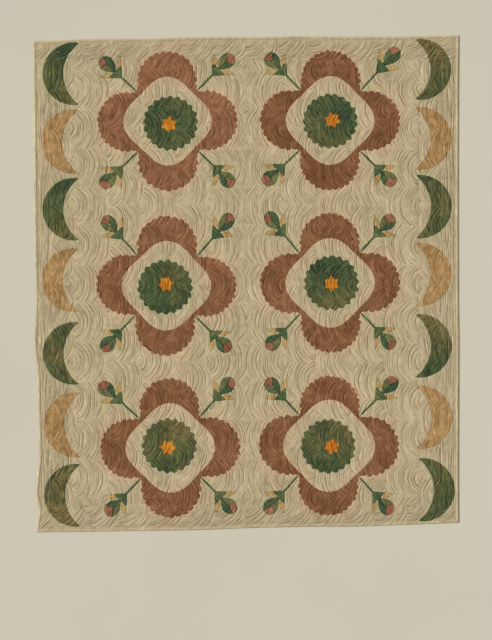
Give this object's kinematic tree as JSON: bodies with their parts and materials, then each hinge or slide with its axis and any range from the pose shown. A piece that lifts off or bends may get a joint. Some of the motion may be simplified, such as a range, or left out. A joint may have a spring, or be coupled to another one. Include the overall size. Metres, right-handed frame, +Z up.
{
  "type": "applique quilt",
  "caption": "Flat bed quilt with rose wreaths, bud sprigs and crescents sewn on a cream ground quilted in fans, with a narrow bound edge.",
  "frame": {"origin": "middle of the underside, on the surface the quilt lies on", "axes": "+Z up out of the quilt's face, +Y towards its top edge, +X towards its right side"},
  "size_m": [1.986, 2.318, 0.009],
  "materials": {
    "cream_ground": "matt unbleached cotton, quilted, mottled with age",
    "cream_binding": "matt unbleached cotton strip",
    "rose_cloth": "matt red-brown cotton, faded in patches",
    "green_cloth": "matt dark green cotton, mottled with olive and blue",
    "tan_cloth": "matt tan cotton",
    "orange_cloth": "matt orange cotton",
    "sprig_cloth": "matt green cotton; leaves and bud tips are tan and pink"
  },
  "bodies": {
    "root": {"quilt_body": "cream_ground", "binding": "cream_binding", "rose_1": "rose_cloth", "sunburst_1": "green_cloth", "star_1": "orange_cloth", "sprig_1_ne": "sprig_cloth", "sprig_1_nw": "sprig_cloth", "sprig_1_sw": "sprig_cloth", "sprig_1_se": "sprig_cloth", "rose_2": "rose_cloth", "sunburst_2": "green_cloth", "star_2": "orange_cloth", "sprig_2_ne": "sprig_cloth", "sprig_2_nw": "sprig_cloth", "sprig_2_sw": "sprig_cloth", "sprig_2_se": "sprig_cloth", "rose_3": "rose_cloth", "sunburst_3": "green_cloth", "star_3": "orange_cloth", "sprig_3_ne": "sprig_cloth", "sprig_3_nw": "sprig_cloth", "sprig_3_sw": "sprig_cloth", "sprig_3_se": "sprig_cloth", "rose_4": "rose_cloth", "sunburst_4": "green_cloth", "star_4": "orange_cloth", "sprig_4_ne": "sprig_cloth", "sprig_4_nw": "sprig_cloth", "sprig_4_sw": "sprig_cloth", "sprig_4_se": "sprig_cloth", "rose_5": "rose_cloth", "sunburst_5": "green_cloth", "star_5": "orange_cloth", "sprig_5_ne": "sprig_cloth", "sprig_5_nw": "sprig_cloth", "sprig_5_sw": "sprig_cloth", "sprig_5_se": "sprig_cloth", "rose_6": "rose_cloth", "sunburst_6": "green_cloth", "star_6": "orange_cloth", "sprig_6_ne": "sprig_cloth", "sprig_6_nw": "sprig_cloth", "sprig_6_sw": "sprig_cloth", "sprig_6_se": "sprig_cloth", "crescent_left_1": "green_cloth", "crescent_left_2": "tan_cloth", "crescent_left_3": "green_cloth", "crescent_left_4": "tan_cloth", "crescent_left_5": "green_cloth", "crescent_left_6": "tan_cloth", "crescent_left_7": "green_cloth", "crescent_right_1": "green_cloth", "crescent_right_2": "tan_cloth", "crescent_right_3": "green_cloth", "crescent_right_4": "tan_cloth", "crescent_right_5": "green_cloth", "crescent_right_6": "tan_cloth", "crescent_right_7": "green_cloth"}
  },
  "joints": []
}
